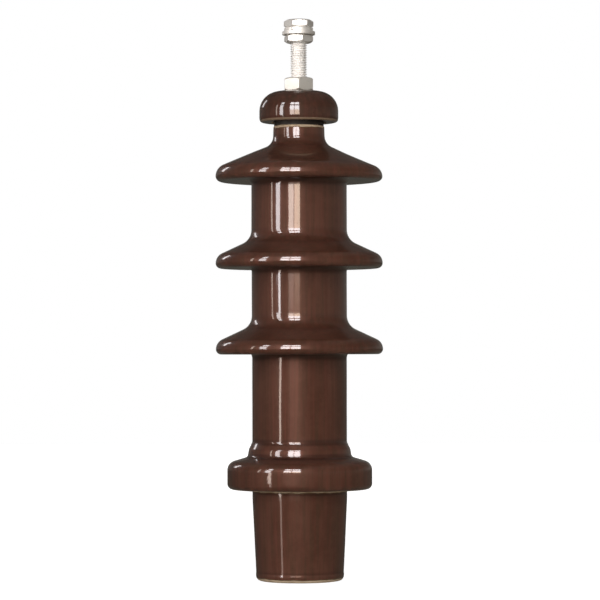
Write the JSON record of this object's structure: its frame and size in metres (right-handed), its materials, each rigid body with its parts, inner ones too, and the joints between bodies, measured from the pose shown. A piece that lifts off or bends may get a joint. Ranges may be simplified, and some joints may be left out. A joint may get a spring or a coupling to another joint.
{
  "type": "porcelain insulator",
  "caption": "Brown-glazed porcelain bushing insulator with flared sheds, seating collar and tapered tail, carrying an M12 stud with terminal nuts through a cover.",
  "frame": {"origin": "on the stud's axis, in the plane where the collar rests on the cover", "axes": "+Z along the axis towards the line terminal; +X across, and -Y the side first looked at"},
  "size_m": [0.1218, 0.1218, 0.4088],
  "materials": {
    "brown_glaze": "glossy reddish-brown glaze over fired porcelain",
    "plated_steel": "bright nickel or zinc plating, lightly worn",
    "black_rubber": "matt oil-resistant rubber",
    "pressed_paper": "oil-soaked pressed paper"
  },
  "bodies": {
    "insulator": {"insulator_body": "brown_glaze", "porcelain_cap": "brown_glaze", "cap_gasket": "black_rubber", "stud_seal": "black_rubber", "lower_seal": "black_rubber", "terminal_stud": "plated_steel", "seal_pressure_washer": "plated_steel", "stud_collar": "plated_steel", "locating_pin": "plated_steel", "insulating_tube": "pressed_paper", "upper_centring_ring": "pressed_paper", "lower_centring_ring": "pressed_paper"},
    "upper_washer": {"terminal_spring_washer": "plated_steel"},
    "upper_nut": {"upper_terminal_nut": "plated_steel"},
    "lower_washer": {"terminal_washer": "plated_steel"},
    "lower_nut": {"lower_terminal_nut": "plated_steel"},
    "cap_plate": {"cap_washer": "plated_steel"},
    "cap_screw_nut": {"cap_nut": "plated_steel"},
    "lead_washers": {"lead_washer": "plated_steel", "lead_spring_washer": "plated_steel"},
    "lead_clamp_nut": {"lead_nut": "plated_steel"}
  },
  "joints": [
    {"name": "upper_nut_travel", "type": "slide", "parent": "insulator", "child": "upper_washer", "axis": [0, 0, 1], "range_m": [0, 0.00526]},
    {"name": "upper_nut_turn", "type": "hinge", "parent": "upper_washer", "child": "upper_nut", "pos_m": [0, 0, 0], "axis": [0, 0, 1], "range_deg": [0, 1080]},
    {"name": "lower_nut_travel", "type": "slide", "parent": "insulator", "child": "lower_washer", "axis": [0, 0, 1], "range_m": [-0.02101, 0]},
    {"name": "lower_nut_turn", "type": "hinge", "parent": "lower_washer", "child": "lower_nut", "pos_m": [0, 0, 0], "axis": [0, 0, 1], "range_deg": [-4320, 0]},
    {"name": "cap_nut_travel", "type": "slide", "parent": "insulator", "child": "cap_plate", "axis": [0, 0, 1], "range_m": [0, 0.00351]},
    {"name": "cap_nut_turn", "type": "hinge", "parent": "cap_plate", "child": "cap_screw_nut", "pos_m": [0, 0, 0], "axis": [0, 0, 1], "range_deg": [0, 720]},
    {"name": "lead_nut_travel", "type": "slide", "parent": "insulator", "child": "lead_washers", "axis": [0, 0, 1], "range_m": [-0.01314, 0]},
    {"name": "lead_nut_turn", "type": "hinge", "parent": "lead_washers", "child": "lead_clamp_nut", "pos_m": [0, 0, 0], "axis": [0, 0, 1], "range_deg": [-2700, 0]}
  ],
  "couplings": [
    {"joint": "upper_nut_travel", "follows": "upper_nut_turn", "m_per_rad": 0.00027852},
    {"joint": "lower_nut_travel", "follows": "lower_nut_turn", "m_per_rad": 0.00027852},
    {"joint": "cap_nut_travel", "follows": "cap_nut_turn", "m_per_rad": 0.00027852},
    {"joint": "lead_nut_travel", "follows": "lead_nut_turn", "m_per_rad": 0.00027852}
  ]
}
